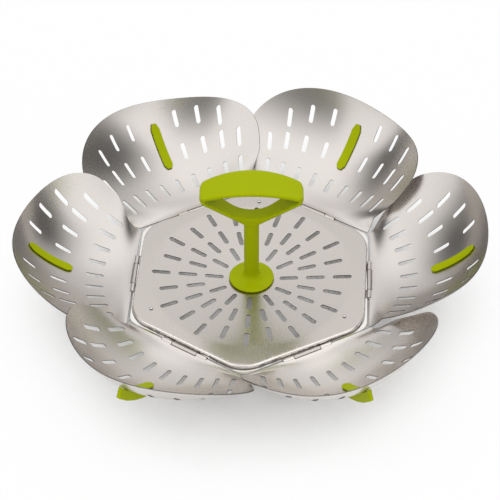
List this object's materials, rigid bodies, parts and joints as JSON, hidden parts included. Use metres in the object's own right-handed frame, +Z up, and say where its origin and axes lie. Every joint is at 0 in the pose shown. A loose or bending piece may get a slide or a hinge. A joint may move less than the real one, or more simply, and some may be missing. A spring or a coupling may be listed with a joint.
{
  "type": "folding steamer basket",
  "caption": "Steel steamer basket: a slotted hexagonal plate on short legs, overlapping slotted petals hinged round it that fold up together, and a stem with a finger loop.",
  "frame": {"origin": "on the floor, on the basket's own axis, at the centre of the bottom of its bounding box", "axes": "+Z up along the stem, +X out through the middle of petal_1's side of the plate, +Y towards leg_1"},
  "size_m": [0.2882, 0.2764, 0.0925],
  "materials": {
    "plate_steel": "satin stainless sheet",
    "petal_steel": "satin stainless sheet with broad soft reflections",
    "fastener_steel": "plain stainless",
    "green_plastic": "satin lime green"
  },
  "bodies": {
    "base": {"base_plate": "plate_steel", "handle": "green_plastic", "handle_washer": "fastener_steel", "handle_screw": "fastener_steel", "hinge_pin_1": "fastener_steel", "hinge_pin_2": "fastener_steel", "hinge_pin_3": "fastener_steel", "hinge_pin_4": "fastener_steel", "hinge_pin_5": "fastener_steel", "hinge_pin_6": "fastener_steel", "leg_1": "green_plastic", "leg_rivet_1": "fastener_steel", "leg_2": "green_plastic", "leg_rivet_2": "fastener_steel", "leg_3": "green_plastic", "leg_rivet_3": "fastener_steel"},
    "petal_1_body": {"petal_1": "petal_steel", "petal_foot_1": "green_plastic"},
    "petal_2_body": {"petal_2": "petal_steel", "petal_foot_2": "green_plastic"},
    "petal_3_body": {"petal_3": "petal_steel", "petal_foot_3": "green_plastic"},
    "petal_4_body": {"petal_4": "petal_steel", "petal_foot_4": "green_plastic"},
    "petal_5_body": {"petal_5": "petal_steel", "petal_foot_5": "green_plastic"},
    "petal_6_body": {"petal_6": "petal_steel", "petal_foot_6": "green_plastic"}
  },
  "joints": [
    {"name": "petal_1_hinge", "type": "hinge", "parent": "base", "child": "petal_1_body", "pos_m": [0.0732, 0, 0.0135], "axis": [0, -1, 0], "range_deg": [0, 80]},
    {"name": "petal_2_hinge", "type": "hinge", "parent": "base", "child": "petal_2_body", "pos_m": [0.0366, 0.06339, 0.0135], "axis": [0.866, -0.5, 0], "range_deg": [0, 80]},
    {"name": "petal_3_hinge", "type": "hinge", "parent": "base", "child": "petal_3_body", "pos_m": [-0.0366, 0.06339, 0.0135], "axis": [0.866, 0.5, 0], "range_deg": [0, 80]},
    {"name": "petal_4_hinge", "type": "hinge", "parent": "base", "child": "petal_4_body", "pos_m": [-0.0732, 0, 0.0135], "axis": [0, 1, 0], "range_deg": [0, 80]},
    {"name": "petal_5_hinge", "type": "hinge", "parent": "base", "child": "petal_5_body", "pos_m": [-0.0366, -0.06339, 0.0135], "axis": [-0.866, 0.5, 0], "range_deg": [0, 80]},
    {"name": "petal_6_hinge", "type": "hinge", "parent": "base", "child": "petal_6_body", "pos_m": [0.0366, -0.06339, 0.0135], "axis": [-0.866, -0.5, 0], "range_deg": [0, 80]}
  ],
  "couplings": [
    {"joint": "petal_2_hinge", "follows": "petal_1_hinge", "ratio": 1},
    {"joint": "petal_3_hinge", "follows": "petal_1_hinge", "ratio": 1},
    {"joint": "petal_4_hinge", "follows": "petal_1_hinge", "ratio": 1},
    {"joint": "petal_5_hinge", "follows": "petal_1_hinge", "ratio": 1},
    {"joint": "petal_6_hinge", "follows": "petal_1_hinge", "ratio": 1}
  ]
}
